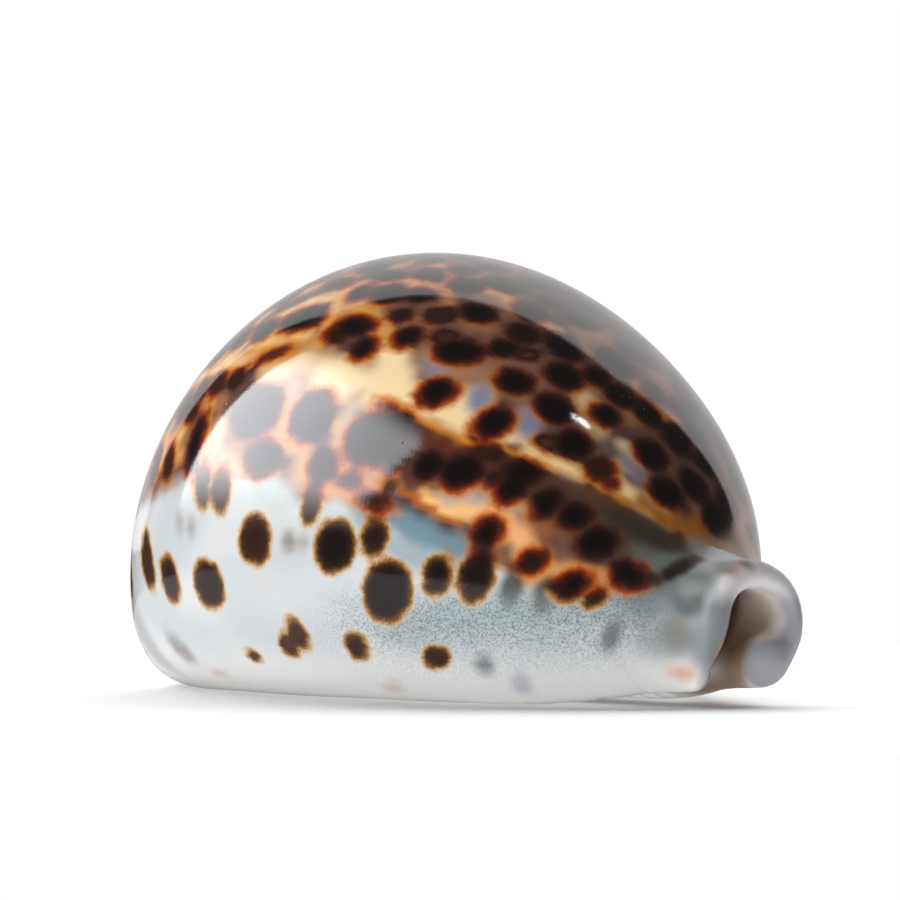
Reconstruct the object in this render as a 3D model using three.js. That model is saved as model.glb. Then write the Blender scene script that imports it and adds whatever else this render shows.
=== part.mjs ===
// A large spotted cowrie's shell, lying on its base. The animal grew it as one piece: an egg-shaped
// dome whose underside is split along its whole length by the aperture, with a canal at each end.
// +X runs to the front canal, +Y to the inner lip's side, +Z up. Lengths are in millimetres.
import * as THREE from 'three';
import { mergeVertices } from 'three/addons/utils/BufferGeometryUtils.js';

// Driving dimensions. Each egg curve rises from its foot to its reach between two places on X, and
// its lean moves the fattest place towards the back.
const BACK_END = -41;
const FRONT_END = 45.4;
const DOME = { reach: 52.0, foot: 4.0, from: -39.0, to: 42.4, lean: 0.153 };
const OUTER_SIDE = { reach: 31.35, foot: 4.0, from: -38.9, to: 40.9, lean: 0.205 };
const INNER_SIDE = { reach: 31.5, foot: 4.0, from: -38.9, to: 39.2, lean: 0.205 };

// What changes along the shell, as a few [x, value] points with a smooth curve through them.
const CANAL_ROOF = [[-41, 15.0], [46, 17.6]];
const CANAL_OUTER_SIDE = [[-41, 9.0], [46, 6.6]];
const CANAL_INNER_SIDE = [[-41, 10.6], [46, 8.7]];
const CANAL_BLEND = [[-41, 6.0], [46, 2.4]];
const OUTER_BASE = [[-41, 3.0], [-36, 1.0], [-30, 0.1], [-26, 0], [27, 0], [34, 0.8], [38.5, 2.1], [46, 2.3]];
const INNER_BASE = [[-41, 2.8], [-36, 0.9], [-30, 0.1], [-26, 0], [27, 0], [34, 1.0], [38.5, 1.9], [46, 2.5]];
const MARGIN = [[-41, 9.5], [-34, 13.8], [-19, 18.6], [5, 20.4], [23, 20.0], [33, 17.4], [41, 11.2], [46, 10.5]];
const BASE_SQUARENESS = [[-41, 3.1], [30, 3.1], [46, 2.4]];
const APERTURE_MIDDLE = [[-41, 2.2], [-28, 0.2], [-4, -1.6], [23, -1.8], [46, -2.2]];
const APERTURE_GAP = [[-41, 4.4], [-24, 3.6], [0, 3.9], [30, 4.4], [40, 4.2], [46, 3.5]];
const OUTER_LIP_RADIUS = [[-41, 1.7], [-30, 3.2], [0, 3.6], [25, 3.3], [46, 1.6]];
const INNER_LIP_RADIUS = [[-41, 2.4], [-20, 4.0], [10, 4.2], [30, 3.4], [40, 2.9], [46, 3.3]];
const WALL = [[-41, 3.2], [-33, 3.2], [-10, 2.5], [20, 2.6], [46, 3.4]];

const CREST_OFFSET = 0.8;      // the crest lies a little to the inner lip's side
const DOME_ROUNDNESS = 2.05;   // exponent of the oval above the margin
const LIP_RISE = 0.9;          // the base is hollowed towards the aperture by this much
const LIP_RISE_REACH = 11;
const KNOB = 1.7;              // the inner lip ends in a knob at the front
const KNOB_RADIUS = 3.0;
const FRONT_CUTBACK = 3.0;     // the outer lip's front corner is rounded off
const BACK_CUTBACK = 2.4;
const WEAR = 0.25;             // the lowest places are worn flat by this much

// The mould's fine grid, and how much of it the solid keeps.
const RINGS = 109;
const WALL_POINTS = 72;
const LIP_POINTS = 9;
const RIM_RINGS = 4;
const SMOOTHINGS = 6;
const KEEP_RING = 2;
const KEEP_POINT = 3;

const clamp01 = (t) => Math.min(1, Math.max(0, t));
const ease = (t) => clamp01(t) ** 2 * (3 - 2 * clamp01(t));
const softMax = (a, b, k) => (a + b + Math.hypot(a - b, k)) / 2;
const range = (n) => Array.from({ length: n }, (_, i) => i);

// A smooth curve through a few points that never swings past them.
function through(points, x) {
  const slopes = points.slice(1).map((p, i) => (p[1] - points[i][1]) / (p[0] - points[i][0]));
  const tangent = (i) => {
    if (i === 0) return slopes[0];
    if (i === points.length - 1) return slopes[i - 1];
    if (slopes[i - 1] * slopes[i] <= 0) return 0;
    const before = points[i][0] - points[i - 1][0];
    const after = points[i + 1][0] - points[i][0];
    const near = 2 * after + before;
    const far = after + 2 * before;
    return (near + far) / (near / slopes[i - 1] + far / slopes[i]);
  };
  let i = 0;
  while (i < points.length - 2 && x > points[i + 1][0]) i += 1;
  const span = points[i + 1][0] - points[i][0];
  const t = (x - points[i][0]) / span;
  return (1 + 2 * t) * (1 - t) ** 2 * points[i][1] + t * (1 - t) ** 2 * span * tangent(i)
    + t * t * (3 - 2 * t) * points[i + 1][1] + t * t * (t - 1) * span * tangent(i + 1);
}

function egg({ reach, foot, from, to, lean }, x) {
  const u = Math.min(1, Math.max(-1, (2 * x - from - to) / (to - from)));
  const t = u + lean * (1 - u * u);
  return foot + (reach - foot) * Math.sqrt(Math.max(0, 1 - t * t));
}

// The sizes of the section at one place along the shell.
function sizesAt(x) {
  const blend = through(CANAL_BLEND, x);
  const middle = through(APERTURE_MIDDLE, x);
  const halfGap = through(APERTURE_GAP, x) / 2;
  const outerLip = through(OUTER_LIP_RADIUS, x);
  const innerLip = through(INNER_LIP_RADIUS, x);
  return {
    x,
    top: softMax(egg(DOME, x), through(CANAL_ROOF, x), blend),
    outer: softMax(egg(OUTER_SIDE, x), through(CANAL_OUTER_SIDE, x), blend),
    inner: softMax(egg(INNER_SIDE, x), through(CANAL_INNER_SIDE, x), blend),
    outerBase: through(OUTER_BASE, x),
    innerBase: through(INNER_BASE, x),
    margin: through(MARGIN, x),
    squareness: through(BASE_SQUARENESS, x),
    outerLip,
    innerLip,
    outerLipY: middle - halfGap - outerLip,
    innerLipY: middle + halfGap + innerLip,
    wall: through(WALL, x),
    rise: LIP_RISE * ease((x - BACK_END) / 14) * ease((FRONT_END - 6 - x) / 14),
  };
}

// A quarter of an oval in the Y-Z plane; 0 degrees points to +Y and 90 to +Z.
function quarter(y, z, wide, high, exponent, from, to) {
  const steps = 90;
  return range(steps + 1).map((i) => {
    const a = THREE.MathUtils.degToRad(from + ((to - from) * i) / steps);
    const bend = (v) => Math.sign(v) * Math.abs(v) ** (2 / exponent);
    return [y + wide * bend(Math.cos(a)), z + high * bend(Math.sin(a))];
  });
}

// The same path with its points evenly spaced.
function spaced(path, count) {
  const along = [0];
  path.slice(1).forEach((p, i) => along.push(along[i] + Math.hypot(p[0] - path[i][0], p[1] - path[i][1])));
  let i = 0;
  return range(count).map((k) => {
    const d = (along[along.length - 1] * k) / (count - 1);
    while (i < path.length - 2 && d > along[i + 1]) i += 1;
    const t = clamp01((d - along[i]) / Math.max(along[i + 1] - along[i], 1e-9));
    return [0, 1].map((c) => path[i][c] + t * (path[i + 1][c] - path[i][c]));
  });
}

// One section: out over the dome from lip to lip, round the inner lip, back inside, round the outer lip.
function section(s) {
  const hollowed = (path, lipY, base) => path.map(([y, z]) => {
    const near = ease(1 - Math.abs(y - lipY) / LIP_RISE_REACH);
    const low = 1 - ease((z - base) / (s.margin - base));
    return [y, z + s.rise * near * low];
  });
  const crest = CREST_OFFSET;
  const outside = [
    ...hollowed(quarter(s.outerLipY, s.margin, s.outer + s.outerLipY, s.margin - s.outerBase,
      s.squareness, 270, 180), s.outerLipY, s.outerBase),
    ...quarter(crest, s.margin, s.outer + crest, s.top - s.margin, DOME_ROUNDNESS, 180, 90).slice(1),
    ...quarter(crest, s.margin, s.inner - crest, s.top - s.margin, DOME_ROUNDNESS, 90, 0).slice(1),
    ...hollowed(quarter(s.innerLipY, s.margin, s.inner - s.innerLipY, s.margin - s.innerBase,
      s.squareness, 0, -90), s.innerLipY, s.innerBase).slice(1),
  ];
  const outerFoot = s.outerBase + s.rise;
  const innerFoot = s.innerBase + s.rise;
  const outerFloor = outerFoot + 2 * s.outerLip;
  const innerFloor = innerFoot + 2 * s.innerLip;
  const roof = s.top - s.wall;
  const floor = Math.max(outerFloor, innerFloor);
  const waist = Math.max(s.margin, floor + 0.35 * (roof - floor));
  const outerWall = s.outer - s.wall;
  const innerWall = s.inner - s.wall;
  const round = DOME_ROUNDNESS;
  const inside = [
    ...quarter(s.innerLipY, waist, innerWall - s.innerLipY, waist - innerFloor, round, -90, 0),
    ...quarter(crest, waist, innerWall - crest, roof - waist, round, 0, 90).slice(1),
    ...quarter(crest, waist, outerWall + crest, roof - waist, round, 90, 180).slice(1),
    ...quarter(s.outerLipY, waist, outerWall + s.outerLipY, waist - outerFloor, round, 180, 270).slice(1),
  ];
  const turns = range(LIP_POINTS).map((i) => (Math.PI * (i + 1)) / (LIP_POINTS + 1));
  const innerLip = turns.map((a) => [
    s.innerLipY - s.innerLip * Math.sin(a), innerFoot + s.innerLip * (1 - Math.cos(a))]);
  const outerLip = turns.map((a) => [
    s.outerLipY + s.outerLip * Math.sin(a), outerFoot + s.outerLip * (1 + Math.cos(a))]);
  return [...spaced(outside, WALL_POINTS), ...innerLip, ...spaced(inside, WALL_POINTS), ...outerLip];
}

// Where each section stands on X: evenly spaced along the crest, over the dome from end to end.
function stations() {
  const fine = 1500;
  const crest = range(fine + 1).map((i) => {
    const x = BACK_END + ((FRONT_END - BACK_END) * i) / fine;
    return [x, sizesAt(x).top];
  });
  return spaced(crest, RINGS).map(([x]) => x);
}

// A section moved into space. Both canals' rims lean back below, and the inner lip's end swells.
function ring(x) {
  const s = sizesAt(x);
  const foot = Math.min(s.outerBase, s.innerBase);
  const atFront = ease((x - (FRONT_END - 11)) / 11);
  const atBack = ease((BACK_END + 7 - x) / 7);
  return section(s).map(([y, z]) => {
    const low = clamp01(1 - (z - foot) / (s.top - foot));
    const outerHalf = 1 - ease((y + 6) / 12);
    const fromKnob = Math.hypot(y - s.innerLipY, z - s.innerBase - s.innerLip);
    const knob = KNOB * Math.exp(-((fromKnob / KNOB_RADIUS) ** 2)) * atFront ** 2;
    const cutback = FRONT_CUTBACK * outerHalf * low ** 6 * atFront;
    return [x + knob - cutback + BACK_CUTBACK * low ** 2 * atBack, y, z];
  });
}

const mix3 = (a, b, c) => [0, 1, 2].map((i) => (a[i] + 2 * b[i] + c[i]) / 4);

function smoothed(rings) {
  const n = rings[0].length;
  const around = rings.map((r) => r.map((p, j) => mix3(r[(j + n - 1) % n], p, r[(j + 1) % n])));
  return around.map((r, k) => (k === 0 || k === around.length - 1
    ? r : r.map((p, j) => mix3(around[k - 1][j], p, around[k + 1][j]))));
}

// The point across the wall from point j of a ring.
const LOOP = 2 * WALL_POINTS + 2 * LIP_POINTS;
const across = (j) => (2 * WALL_POINTS + LIP_POINTS - 1 - j + LOOP) % LOOP;

// Half-round rim that closes the wall at one end; direction is -1 at the back and 1 at the front.
function rim(last, direction) {
  return range(RIM_RINGS).map((k) => {
    const a = (Math.PI / 2) * ((k + 1) / RIM_RINGS);
    return last.map((p, j) => {
      const middle = p.map((v, i) => (v + last[across(j)][i]) / 2);
      const half = p.map((v, i) => v - middle[i]);
      const point = middle.map((v, i) => v + half[i] * Math.cos(a));
      point[0] += direction * Math.hypot(...half) * Math.sin(a);
      return point;
    });
  });
}

function shellGeometry() {
  let rings = stations().map(ring);
  for (let i = 0; i < SMOOTHINGS; i += 1) rings = smoothed(rings);
  const body = rings.filter((_, k) => k % KEEP_RING === 0);
  const all = [...rim(rings[0], -1).reverse(), ...body, ...rim(rings[RINGS - 1], 1)];
  const kept = all.map((r) => r.filter((_, j) => j % KEEP_POINT === 1));
  const points = kept.flat();
  const lowest = Math.min(...points.map((p) => p[2]));
  const middle = [0, 1].map((i) => {
    const values = points.map((p) => p[i]);
    return (Math.min(...values) + Math.max(...values)) / 2;
  });
  const placed = points.map(([x, y, z]) => [x - middle[0], y - middle[1], Math.max(0, z - lowest - WEAR)]);

  const n = kept[0].length;
  const faces = [];
  for (let k = 0; k < kept.length - 1; k += 1) {
    for (let j = 0; j < n; j += 1) {
      const [a, b, c, d] = [k * n + j, (k + 1) * n + j, (k + 1) * n + ((j + 1) % n), k * n + ((j + 1) % n)];
      faces.push([a, b, c], [a, c, d]);
    }
  }
  const geometry = new THREE.BufferGeometry();
  geometry.setAttribute('position', new THREE.Float32BufferAttribute(placed.flat(), 3));
  geometry.setIndex(faces.flat());
  const welded = mergeVertices(geometry, 1e-4);
  const index = welded.getIndex().array;
  const solid = [];
  for (let i = 0; i < index.length; i += 3) {
    const [a, b, c] = [index[i], index[i + 1], index[i + 2]];
    if (a !== b && b !== c && c !== a) solid.push(a, b, c);
  }
  welded.setIndex(solid);
  welded.computeVertexNormals();
  return welded;
}

const shell = new THREE.Mesh(
  shellGeometry(),
  new THREE.MeshStandardMaterial({ color: 0xc9a98a, roughness: 0.18, metalness: 0 }),
);
shell.name = 'shell';

const cowrie = new THREE.Group();
cowrie.add(shell);

export default cowrie;
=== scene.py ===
import math

import bmesh
import bpy
import mathutils.noise
import numpy as np
from mathutils import Matrix, Vector


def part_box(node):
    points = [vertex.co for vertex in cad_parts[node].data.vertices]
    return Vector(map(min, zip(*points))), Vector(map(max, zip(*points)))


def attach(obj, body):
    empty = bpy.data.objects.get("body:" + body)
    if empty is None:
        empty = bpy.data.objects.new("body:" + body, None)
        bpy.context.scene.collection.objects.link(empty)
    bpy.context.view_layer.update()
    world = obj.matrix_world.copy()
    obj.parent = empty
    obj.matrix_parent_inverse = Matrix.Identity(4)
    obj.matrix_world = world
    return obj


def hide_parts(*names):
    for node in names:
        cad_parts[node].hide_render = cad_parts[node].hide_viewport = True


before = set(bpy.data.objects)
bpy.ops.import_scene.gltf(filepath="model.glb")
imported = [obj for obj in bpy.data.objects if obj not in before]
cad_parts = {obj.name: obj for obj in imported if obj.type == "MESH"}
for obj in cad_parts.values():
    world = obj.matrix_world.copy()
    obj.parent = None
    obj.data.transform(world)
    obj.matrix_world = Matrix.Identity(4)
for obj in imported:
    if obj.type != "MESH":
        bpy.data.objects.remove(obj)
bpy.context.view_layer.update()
scene = bpy.context.scene

# Camera: a long lens at table height, off the shell's front corner, so that the flank, the dome and
# the front canal all show.
AZIMUTH = 46
ELEVATION = 1.5
DISTANCE = 1.0
VIEW_WIDTH = 0.10405
AIM = Vector((-0.00333, -0.00064, 0.02797))


def towards(azimuth, elevation):
    """Unit vector at degrees round from -Y towards +X and degrees above the floor."""
    a, e = math.radians(azimuth), math.radians(elevation)
    return Vector((math.sin(a) * math.cos(e), -math.cos(a) * math.cos(e), math.sin(e)))


camera_data = bpy.data.cameras.new("camera")
camera_data.sensor_width = 36
camera_data.lens = camera_data.sensor_width * DISTANCE / VIEW_WIDTH
camera_data.clip_start = 0.05
camera_data.clip_end = 20
camera = bpy.data.objects.new("camera", camera_data)
scene.collection.objects.link(camera)
camera.location = AIM + DISTANCE * towards(AZIMUTH, ELEVATION)
camera.rotation_euler = towards(AZIMUTH, ELEVATION).to_track_quat("Z", "Y").to_euler()
scene.camera = camera
scene.view_settings.view_transform = "Standard"


# Floor: a round sheet of matt white acrylic on a lit table. It glows a little, so that shadows on it
# stay pale. The glow counts for more as light on the shell than to the eye, and the gloss mirrors the
# sheet as plain grey.
FLOOR_RADIUS, FLOOR_CORNER_ANGLE = 0.125, 3
GLOW_TO_EYE, GLOW_ON_SHELL = 0.09, 0.46


def linear(hex_colour):
    """Linear RGBA of an sRGB hex colour."""
    channels = [int(hex_colour[i:i + 2], 16) / 255 for i in (1, 3, 5)]
    return [c / 12.92 if c <= 0.04045 else ((c + 0.055) / 1.055) ** 2.4 for c in channels] + [1.0]


def add_node(tree, kind, settings=None, **inputs):
    """One node of a kind: settings set its properties, and inputs its sockets by value or by link."""
    node = tree.nodes.new(kind)
    for name, value in (settings or {}).items():
        setattr(node, name, value)
    for name, value in inputs.items():
        socket = node.inputs[int(name[1:])] if name[1:].isdigit() else node.inputs[name.replace("_", " ")]
        if isinstance(value, bpy.types.NodeSocket):
            tree.links.new(value, socket)
        else:
            socket.default_value = value
    return node


SMOOTH = {"interpolation_type": "SMOOTHSTEP"}
MULTIPLY, MULTIPLY_ADD = {"operation": "MULTIPLY"}, {"operation": "MULTIPLY_ADD"}
COLOURS = {"data_type": "RGBA"}

floor_mesh = bpy.data.meshes.new("floor")
floor_edge = [
    (FLOOR_RADIUS * math.cos(math.radians(turn)), FLOOR_RADIUS * math.sin(math.radians(turn)), 0)
    for turn in range(0, 360, FLOOR_CORNER_ANGLE)
]
floor_mesh.from_pydata(floor_edge, [], [tuple(range(len(floor_edge)))])
floor = bpy.data.objects.new("floor", floor_mesh)
scene.collection.objects.link(floor)
acrylic = bpy.data.materials.new("matt white acrylic")
acrylic.use_nodes = True
acrylic_tree = acrylic.node_tree
acrylic_tree.nodes.clear()
ray = add_node(acrylic_tree, "ShaderNodeLightPath").outputs
glow_strength = add_node(acrylic_tree, "ShaderNodeMapRange", Value=ray["Is Diffuse Ray"], To_Min=GLOW_TO_EYE,
                         To_Max=GLOW_ON_SHELL).outputs[0]
matt = add_node(acrylic_tree, "ShaderNodeBsdfDiffuse", Color=linear("#f4f4f4")).outputs[0]
glow = add_node(acrylic_tree, "ShaderNodeEmission", Color=linear("#ffffff"),
                Strength=glow_strength).outputs[0]
lit = add_node(acrylic_tree, "ShaderNodeAddShader", i0=matt, i1=glow).outputs[0]
mirrored = add_node(acrylic_tree, "ShaderNodeBsdfDiffuse", Color=linear("#b0b0b0")).outputs[0]
floor_look = add_node(acrylic_tree, "ShaderNodeMixShader", i0=ray["Is Glossy Ray"], i1=lit,
                      i2=mirrored).outputs[0]
add_node(acrylic_tree, "ShaderNodeOutputMaterial", Surface=floor_look)
floor_mesh.materials.append(acrylic)

# Light: a tall soft box stands close on the camera's left and a lit white sheet behind the shell, and
# one small bare lamp stands high on the right. The room is dim round the shell, so the dome's colours
# are deep, and white to the camera.
ROOM_DIM, ROOM_WHITE = 0.07, 1.0
world = bpy.data.worlds.new("studio")
scene.world = world
world.use_nodes = True
room = world.node_tree
room.nodes.clear()
seen = add_node(room, "ShaderNodeLightPath").outputs["Is Camera Ray"]
dim = add_node(room, "ShaderNodeBackground", Color=linear("#ffffff"), Strength=ROOM_DIM).outputs[0]
white = add_node(room, "ShaderNodeBackground", Color=linear("#ffffff"), Strength=ROOM_WHITE).outputs[0]
walls = add_node(room, "ShaderNodeMixShader", i0=seen, i1=dim, i2=white).outputs[0]
add_node(room, "ShaderNodeOutputWorld", Surface=walls)


def area_lamp(name, turn, rise, distance, width, height, radiance, aim, roll=0.0):
    """A flat lamp at an angle round from the camera and up, even in its radiance, facing its aim."""
    data = bpy.data.lights.new(name, "AREA")
    data.shape = "RECTANGLE"
    data.size = width
    data.size_y = height
    data.energy = radiance * math.pi * width * height
    data.use_nodes = True
    lamp = bpy.data.objects.new(name, data)
    outwards = towards(AZIMUTH + turn, rise)
    lamp.location = aim + distance * outwards
    facing = outwards.to_track_quat("Z", "Y").to_matrix() @ Matrix.Rotation(math.radians(roll), 3, "Z")
    lamp.rotation_euler = facing.to_euler()
    lamp.visible_camera = False
    scene.collection.objects.link(lamp)
    return lamp


# The floor is lit from high behind the shell, and the other lamps light only the shell.
floor_only, shell_only = bpy.data.collections.new("floor"), bpy.data.collections.new("shell")
floor_only.objects.link(floor)
table = Vector((0, 0, 0))
overhead = area_lamp("overhead", turn=180, rise=62, distance=0.7, width=2.0, height=0.68, radiance=3.4,
                     aim=table)
overhead.light_linking.receiver_collection = floor_only

box_low, box_high = 0.03, 1.3
box_middle = Vector((0, 0, (box_low + box_high) / 2))
soft_box = area_lamp("soft_box", turn=-56, rise=0, distance=0.5, width=0.7, height=box_high - box_low,
                     radiance=2.9, aim=box_middle)
soft_box.visible_glossy = False
soft_box.light_linking.receiver_collection = shell_only

# The soft box's cloth face is a lamp of its own that only the gloss shows. It fades towards its foot,
# its top and its far side, and ends on that side in a slanting, uneven hem.
face_low, face_high, face_left, face_right = 0.03, 0.9, -0.31, 0.375
face_middle = Vector((0, 0, (face_low + face_high) / 2))
face_middle += (face_left + face_right) / 2 * towards(AZIMUTH + 10, 0)
cloth_face = area_lamp("soft_box_face", turn=-80, rise=0, distance=0.49, width=face_right - face_left,
                       height=face_high - face_low, radiance=6.8, aim=face_middle)
cloth_face.visible_diffuse = False
cloth_face.data.color = (0.94, 0.98, 1.03)
cloth_face.light_linking.receiver_collection = shell_only
cloth = cloth_face.data.node_tree
on_cloth = add_node(cloth, "ShaderNodeNewGeometry").outputs["Parametric"]
sideways, upwards, _ = add_node(cloth, "ShaderNodeSeparateXYZ", Vector=on_cloth).outputs
side_fade = add_node(cloth, "ShaderNodeMapRange", SMOOTH, Value=sideways, From_Min=0.3, From_Max=0.95,
                     To_Min=1.0, To_Max=0.55).outputs[0]
foot_fade = add_node(cloth, "ShaderNodeMapRange", SMOOTH, Value=upwards, From_Min=0.0,
                     From_Max=0.17).outputs[0]
top_fade = add_node(cloth, "ShaderNodeMapRange", SMOOTH, Value=upwards, From_Min=0.88,
                    From_Max=0.5).outputs[0]
weave = add_node(cloth, "ShaderNodeTexNoise", Vector=on_cloth, Scale=14.0, Detail=3.0).outputs["Fac"]
slant = add_node(cloth, "ShaderNodeMath", MULTIPLY_ADD, i0=upwards, i1=-0.42, i2=sideways).outputs[0]
hem = add_node(cloth, "ShaderNodeMath", MULTIPLY_ADD, i0=weave, i1=0.12, i2=slant).outputs[0]
face_glow = add_node(cloth, "ShaderNodeMapRange", SMOOTH, Value=hem, From_Min=0.84, From_Max=0.80).outputs[0]
for fade in (side_fade, foot_fade, top_fade):
    face_glow = add_node(cloth, "ShaderNodeMath", MULTIPLY, i0=face_glow, i1=fade).outputs[0]
cloth.links.new(face_glow, cloth.nodes["Emission"].inputs["Strength"])

# The sheet behind is brightest far from the middle of its foot.
sheet_high, sheet_aside = 1.08, 0.105
sheet_middle = Vector((0, 0, sheet_high / 2)) + sheet_aside * towards(AZIMUTH + 90, 0)
sheet = area_lamp("lit_sheet", turn=180, rise=0, distance=0.6, width=1.21, height=sheet_high, radiance=0.72,
                  aim=sheet_middle)
sheet.light_linking.receiver_collection = shell_only
sheet_tree = sheet.data.node_tree
on_sheet = add_node(sheet_tree, "ShaderNodeNewGeometry").outputs["Parametric"]
from_foot = add_node(sheet_tree, "ShaderNodeVectorMath", {"operation": "DISTANCE"}, i0=on_sheet,
                     i1=(0.57, 0.0, 0.0)).outputs["Value"]
sheet_glow = add_node(sheet_tree, "ShaderNodeMapRange", Value=from_foot, From_Max=0.5, To_Min=0.7,
                      To_Max=1.45).outputs[0]
sheet_tree.links.new(sheet_glow, sheet_tree.nodes["Emission"].inputs["Strength"])

bare_lamp = area_lamp("bare_lamp", turn=84, rise=63, distance=0.8, width=0.003, height=0.06,
                      radiance=110.0, aim=table, roll=25.0)
bare_lamp.light_linking.receiver_collection = shell_only

# Shell: one body of aragonite that the animal grew, egg-shaped above and flat below, with its outer
# edge rolled in to a narrow toothed opening and a canal at each end. The mould gives it as sections
# across its length, in millimetres, and a smooth surface is drawn over them.
BACK_END, FRONT_END = -41, 45.4
DOME = dict(reach=52.0, foot=4.0, start=-39.0, end=42.4, lean=0.153)
OUTER_SIDE = dict(reach=31.35, foot=4.0, start=-38.9, end=40.9, lean=0.205)
INNER_SIDE = dict(reach=31.5, foot=4.0, start=-38.9, end=39.2, lean=0.205)
CANAL_ROOF = [(-41, 15.0), (46, 17.6)]
CANAL_OUTER_SIDE = [(-41, 9.0), (37, 10.3), (46, 5.2)]
CANAL_INNER_SIDE = [(-41, 10.6), (46, 8.7)]
CANAL_BLEND = [(-41, 6.0), (46, 2.4)]
OUTER_BASE = [(-41, 3.0), (-36, 1.0), (-30, 0.1), (-26, 0), (21, 0), (28, 0.5), (34, 1.6), (38.5, 2.4),
              (46, 2.5)]
INNER_BASE = [(-41, 2.8), (-36, 0.9), (-30, 0.1), (-26, 0), (21, 0), (28, 0.4), (34, 1.4), (39, 2.5),
              (42, 2.9), (46, 2.9)]
MARGIN = [(-41, 9.5), (-34, 13.8), (-19, 18.6), (5, 20.4), (23, 20.0), (33, 17.4), (41, 11.2), (46, 10.5)]
BASE_SQUARENESS = [(-41, 3.1), (30, 3.1), (46, 2.0)]
APERTURE_MIDDLE = [(-41, 2.2), (-28, 0.2), (-4, -1.6), (23, -1.8), (46, -2.2)]
APERTURE_GAP = [(-41, 4.4), (-24, 3.6), (0, 3.9), (30, 4.4), (40, 4.2), (46, 3.5)]
OUTER_LIP_RADIUS = [(-41, 1.7), (-30, 3.2), (0, 3.6), (25, 3.3), (46, 1.6)]
INNER_LIP_RADIUS = [(-41, 2.4), (-20, 4.0), (10, 4.2), (30, 3.2), (38, 2.2), (45.4, 3.2)]
WALL = [(-41, 3.2), (-33, 3.2), (-10, 2.5), (20, 2.6), (46, 3.4)]
CREST_OFFSET = 0.8
DOME_ROUNDNESS = 2.05
LIP_RISE, LIP_RISE_REACH, LIP_RISE_FADE, LIP_RISE_STOP = 0.9, 11, 14, 6
HOLLOW_WAIST = 0.35
FRONT_REACH, BACK_REACH = 11, 7
KNOB, KNOB_RADIUS = 2.2, 2.7
KNOB_CREASE, CREASE_DISTANCE, CREASE_WIDTH = 0.8, 4.3, 1.2
FRONT_CUTBACK, CUTBACK_WIDTH, BACK_CUTBACK = 3.0, 12, 2.4
RINGS, WALL_POINTS, LIP_POINTS, RIM_RINGS = 109, 72, 9, 4
SMOOTHINGS = 5
LOOP = 2 * (WALL_POINTS + LIP_POINTS)
LAST_OUTSIDE, FIRST_INSIDE = WALL_POINTS - 1, WALL_POINTS + LIP_POINTS
ACROSS_WALL = LAST_OUTSIDE + FIRST_INSIDE


def ease(t):
    """A smooth step: 0 up to 0, and 1 from 1 on."""
    t = np.clip(t, 0, 1)
    return t * t * (3 - 2 * t)


def soft_max(a, b, blend):
    """The larger of two sizes, with a rounded change from one to the other."""
    return (a + b + np.hypot(a - b, blend)) / 2


def through(points, x):
    """A smooth curve through a few (place, value) points that never swings past them."""
    at, value = np.array(points, float).T
    gap = np.diff(at)
    slope = np.diff(value) / gap
    before, after = slope[:-1], slope[1:]
    level = before * after <= 0
    before, after = np.where(level, 1, before), np.where(level, 1, after)
    near, far = 2 * gap[1:] + gap[:-1], gap[1:] + 2 * gap[:-1]
    inner = np.where(level, 0, (near + far) / (near / before + far / after))
    tangent = np.concatenate([slope[:1], inner, slope[-1:]])
    i = np.searchsorted(at[1:-1], x)
    t = (x - at[i]) / gap[i]
    return ((1 + 2 * t) * (1 - t) ** 2 * value[i] + t * (1 - t) ** 2 * gap[i] * tangent[i]
            + t * t * (3 - 2 * t) * value[i + 1] + t * t * (t - 1) * gap[i] * tangent[i + 1])


def egg(x, reach, foot, start, end, lean):
    """Half outline of an egg, foot at both ends and reach at its widest, leaning to one end."""
    u = np.clip((2 * x - start - end) / (end - start), -1, 1)
    t = u + lean * (1 - u * u)
    return foot + (reach - foot) * np.sqrt(np.maximum(0, 1 - t * t))


def quarter(y, z, wide, high, exponent, start, end):
    """A quarter of an oval across the shell; 0 degrees points to +Y and 90 to +Z."""
    a = np.radians(np.linspace(start, end, 91))
    bend = [np.sign(v) * np.abs(v) ** (2 / exponent) for v in (np.cos(a), np.sin(a))]
    return np.stack([y + wide * bend[0], z + high * bend[1]], axis=1)


def spaced(path, count):
    """The same path with its points evenly spaced."""
    along = np.concatenate([[0], np.cumsum(np.hypot(*np.diff(path, axis=0).T))])
    at = np.linspace(0, along[-1], count)
    return np.stack([np.interp(at, along, path[:, 0]), np.interp(at, along, path[:, 1])], axis=1)


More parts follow.
